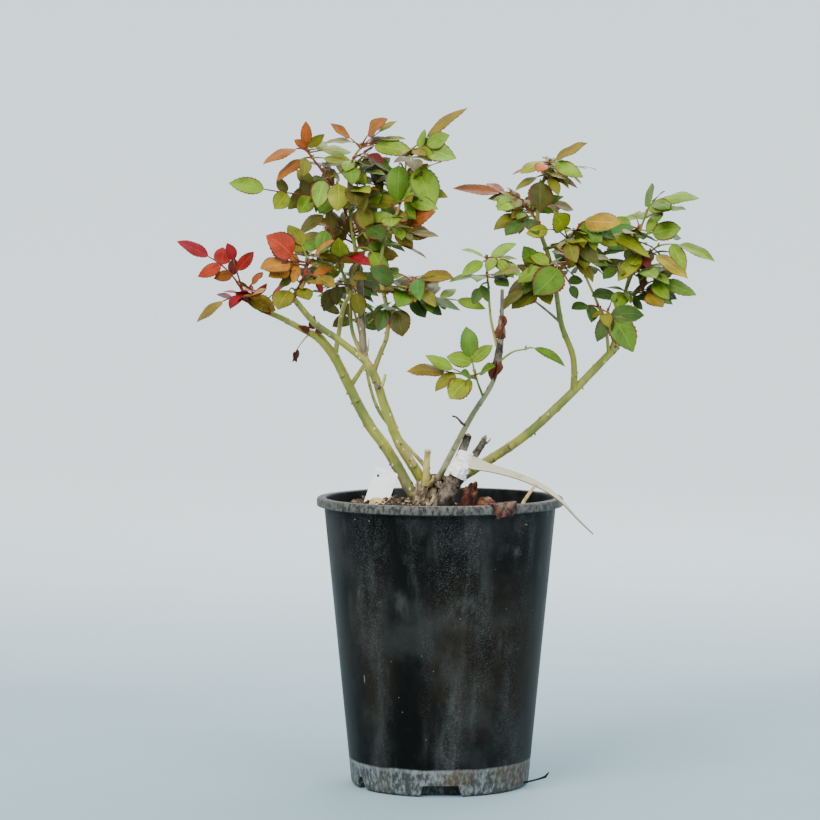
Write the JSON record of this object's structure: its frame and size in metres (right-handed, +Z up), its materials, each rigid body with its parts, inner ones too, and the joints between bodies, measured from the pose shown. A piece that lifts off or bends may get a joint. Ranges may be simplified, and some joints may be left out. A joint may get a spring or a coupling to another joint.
{
  "type": "potted rose bush",
  "caption": "Bush rose in its round nursery pot: bare lower canes on a grafted foot, open sprays of red, olive and green leaves, cut stubs, a blank label and a ribbon.",
  "frame": {"origin": "centre of the pot's flat underside", "axes": "+Z up out of the pot, +X to the right of the front view, +Y to the back"},
  "size_m": [0.4349, 0.2225, 0.5472],
  "materials": {
    "pot_plastic": "moulded, dull, dusty, with a lime band round the foot",
    "compost": "coarse, moist, with bark and fibre",
    "grafted_bark": "fibrous, flaking",
    "green_cane": "smooth young bark with lenticels and prickles",
    "old_wood": "weathered, cracked",
    "pale_wood": "smooth, dried",
    "red_leaf": "leathery, satin, tinted red",
    "amber_leaf": "leathery, satin, tinted orange",
    "olive_leaf": "leathery, satin, olive",
    "green_leaf": "leathery, satin, green",
    "pale_leaf": "leathery, satin, pale green",
    "label_plastic": "smooth, blank",
    "ribbon_plastic": "smooth, blank",
    "bark_chip": "rough on one side, rubbed on the other",
    "dead_leaf": "dry, curled"
  },
  "bodies": {
    "root": {"pot": "pot_plastic", "potting_soil": "compost", "graft_union": "grafted_bark", "left_cane": "green_cane", "left_branch": "green_cane", "left_spur": "green_cane", "middle_cane": "green_cane", "middle_leader": "green_cane", "front_bough": "green_cane", "thin_stem": "green_cane", "right_bough": "green_cane", "rear_cane": "green_cane", "centre_cane": "green_cane", "centre_shoot": "green_cane", "right_cane": "green_cane", "right_leader": "green_cane", "right_shoot": "green_cane", "right_spur": "green_cane", "dead_twig": "old_wood", "old_stub": "old_wood", "cut_stub": "old_wood", "dead_stub": "old_wood", "pale_stub": "pale_wood", "red_spray": "red_leaf", "salmon_spray": "red_leaf", "amber_spray": "amber_leaf", "top_left_spray": "olive_leaf", "top_centre_spray": "olive_leaf", "top_right_spray": "olive_leaf", "low_green_spray": "green_leaf", "rear_left_spray": "green_leaf", "right_top_spray": "olive_leaf", "rust_spray": "amber_leaf", "gold_spray": "amber_leaf", "core_spray": "green_leaf", "low_right_spray": "green_leaf", "rear_right_spray": "green_leaf", "far_top_spray": "green_leaf", "far_right_spray": "pale_leaf", "low_far_spray": "green_leaf", "pale_spray": "pale_leaf", "centre_low_spray": "pale_leaf", "centre_right_leaf": "green_leaf", "plant_label": "label_plastic", "ribbon_label": "ribbon_plastic", "bark_flake": "bark_chip", "bark_nut": "bark_chip", "rim_leaf": "dead_leaf"}
  },
  "joints": []
}
